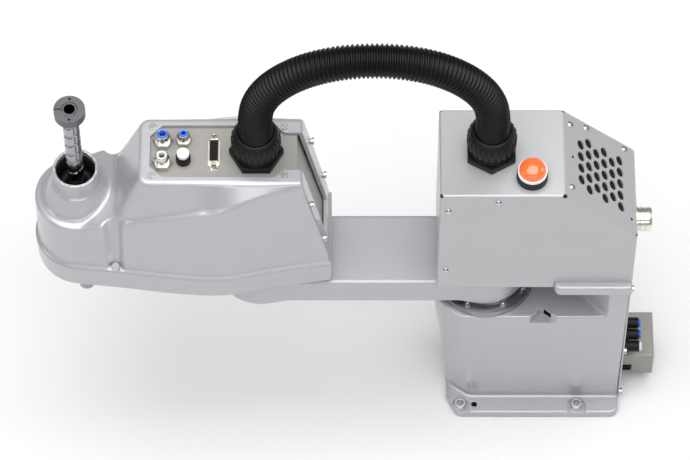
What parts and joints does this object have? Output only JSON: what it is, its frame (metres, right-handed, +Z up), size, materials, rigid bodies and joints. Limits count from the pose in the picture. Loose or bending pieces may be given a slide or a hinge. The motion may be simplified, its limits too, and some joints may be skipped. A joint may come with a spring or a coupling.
{
  "type": "scara robot arm",
  "caption": "Tabletop four-axis selective-compliance robot arm: bolt-down base with built-in controller housing, two horizontal arms joined by a cable duct, and a vertical splined shaft.",
  "frame": {"origin": "the first joint's axis where it meets the mounting plane", "axes": "+X along the stretched arm towards the shaft, +Y to the robot's left, +Z up"},
  "size_m": [0.6229, 0.1366, 0.5915],
  "materials": {
    "paint_silver": "silver paint over aluminium casting, satin gloss",
    "sheet_silver": "silver powder coat over folded sheet",
    "panel_grey": "warm grey satin paint",
    "box_grey": "warm grey coated steel box",
    "black_plastic": "moulded black nylon",
    "duct_plastic": "corrugated black nylon",
    "ring_steel": "dark machined steel",
    "bolt_steel": "zinc plated",
    "nickel": "nickel plated brass",
    "shaft_steel": "ground and hardened",
    "collar_steel": "dark blued steel",
    "hub_aluminium": "machined",
    "blue_plastic": "moulded",
    "white_plastic": "moulded",
    "orange_lens": "clear coloured dome, lit",
    "motor_black": "painted",
    "board_green": "circuit board",
    "supply_metal": "folded sheet",
    "belt_rubber": "toothed belt",
    "connector_metal": "nickel plated shell"
  },
  "bodies": {
    "base": {"base_casting": "paint_silver", "base_tower": "paint_silver", "rear_cover": "sheet_silver", "rear_cover_screws": "bolt_steel", "connector_box": "box_grey", "power_inlet": "black_plastic", "rear_fittings": "black_plastic", "j1_motor": "motor_black", "j1_reducer": "ring_steel", "j1_reducer_bolts": "bolt_steel", "controller_tray": "sheet_silver", "controller_cover": "sheet_silver", "controller_screws": "bolt_steel", "vent_mesh": "black_plastic", "fan_frame": "black_plastic", "power_supply": "supply_metal", "drive_board": "board_green", "lamp_base": "black_plastic", "lamp_bezel": "white_plastic", "lamp_lens": "orange_lens", "box_gland_body": "black_plastic", "box_gland_nut": "black_plastic", "robot_connector": "connector_metal"},
    "arm1": {"arm1_casting": "paint_silver", "j1_output_hub": "hub_aluminium", "j2_output_hub": "hub_aluminium", "cable_duct": "duct_plastic"},
    "arm2": {"arm2_casting": "paint_silver", "arm2_cover": "paint_silver", "arm2_screws": "bolt_steel", "user_panel": "panel_grey", "air_fittings": "nickel", "button_bezel": "black_plastic", "signal_shell": "connector_metal", "signal_insert": "black_plastic", "jackscrews": "nickel", "arm_gland_body": "black_plastic", "arm_gland_nut": "black_plastic", "j2_motor": "motor_black", "j2_reducer": "ring_steel", "motor_bracket": "supply_metal", "z_motor": "motor_black", "z_belt": "belt_rubber", "theta_motor": "motor_black", "theta_belt": "belt_rubber", "nut_housing": "black_plastic"},
    "theta_nut": {"spline_nut": "bolt_steel"},
    "shaft": {"shaft": "shaft_steel", "shaft_collar": "collar_steel"},
    "ball_nut": {"ball_nut": "bolt_steel"},
    "z_pulley": {"z_motor_pulley": "hub_aluminium"},
    "theta_pulley": {"theta_motor_pulley": "hub_aluminium"},
    "brake_button": {"brake_button": "white_plastic"},
    "fan": {"fan_rotor": "black_plastic"},
    "rear_ring_1": {"rear_ring_1": "blue_plastic"},
    "rear_ring_2": {"rear_ring_2": "blue_plastic"},
    "rear_ring_3": {"rear_ring_3": "white_plastic"},
    "air_ring_1": {"air_ring_1": "blue_plastic"},
    "air_ring_2": {"air_ring_2": "white_plastic"},
    "air_ring_3": {"air_ring_3": "blue_plastic"}
  },
  "joints": [
    {"name": "j1_base_swing", "type": "hinge", "parent": "base", "child": "arm1", "pos_m": [0, 0, 0.19], "axis": [0, 0, 1], "range_deg": [-132, 132]},
    {"name": "j2_elbow_swing", "type": "hinge", "parent": "arm1", "child": "arm2", "pos_m": [0.225, 0, 0.23], "axis": [0, 0, -1], "range_deg": [-141, 141]},
    {"name": "j4_shaft_turn", "type": "hinge", "parent": "arm2", "child": "theta_nut", "pos_m": [0.4, 0, 0.25], "axis": [0, 0, 1], "range_deg": [-360, 360]},
    {"name": "j3_shaft_stroke", "type": "slide", "parent": "theta_nut", "child": "shaft", "axis": [0, 0, 1], "range_m": [-0.15, 0]},
    {"name": "ball_nut_turn", "type": "hinge", "parent": "theta_nut", "child": "ball_nut", "pos_m": [0.4, 0, 0.3], "axis": [0, 0, 1], "range_deg": [-10, 3385]},
    {"name": "z_pulley_turn", "type": "hinge", "parent": "arm2", "child": "z_pulley", "pos_m": [0.305, 0.022, 0.301], "axis": [0, 0, 1], "range_deg": [-10, 5640]},
    {"name": "theta_pulley_turn", "type": "hinge", "parent": "arm2", "child": "theta_pulley", "pos_m": [0.305, -0.022, 0.249], "axis": [0, 0, 1], "range_deg": [-605, 605]},
    {"name": "brake_button_press", "type": "slide", "parent": "arm2", "child": "brake_button", "axis": [0, 0, 1], "range_m": [-0.002, 0], "stiffness_N_per_m": 900},
    {"name": "fan_spin", "type": "hinge", "parent": "base", "child": "fan", "pos_m": [-0.0994, 0.002, 0.3707], "axis": [-0.7095, 0, 0.7047], "continuous": true},
    {"name": "air_ring_1_press", "type": "slide", "parent": "arm2", "child": "air_ring_1", "axis": [0, 0, 1], "range_m": [-0.001, 0], "stiffness_N_per_m": 600},
    {"name": "air_ring_2_press", "type": "slide", "parent": "arm2", "child": "air_ring_2", "axis": [0, 0, 1], "range_m": [-0.001, 0], "stiffness_N_per_m": 600},
    {"name": "air_ring_3_press", "type": "slide", "parent": "arm2", "child": "air_ring_3", "axis": [0, 0, 1], "range_m": [-0.001, 0], "stiffness_N_per_m": 600},
    {"name": "rear_ring_1_press", "type": "slide", "parent": "base", "child": "rear_ring_1", "axis": [-1, 0, 0], "range_m": [-0.0008, 0], "stiffness_N_per_m": 600},
    {"name": "rear_ring_2_press", "type": "slide", "parent": "base", "child": "rear_ring_2", "axis": [-1, 0, 0], "range_m": [-0.0008, 0], "stiffness_N_per_m": 600},
    {"name": "rear_ring_3_press", "type": "slide", "parent": "base", "child": "rear_ring_3", "axis": [-1, 0, 0], "range_m": [-0.0008, 0], "stiffness_N_per_m": 600}
  ],
  "couplings": [
    {"joint": "ball_nut_turn", "follows": "j3_shaft_stroke", "rad_per_m": -392.7},
    {"joint": "z_pulley_turn", "follows": "j3_shaft_stroke", "rad_per_m": -654.5},
    {"joint": "theta_pulley_turn", "follows": "j4_shaft_turn", "ratio": 1.6667}
  ]
}
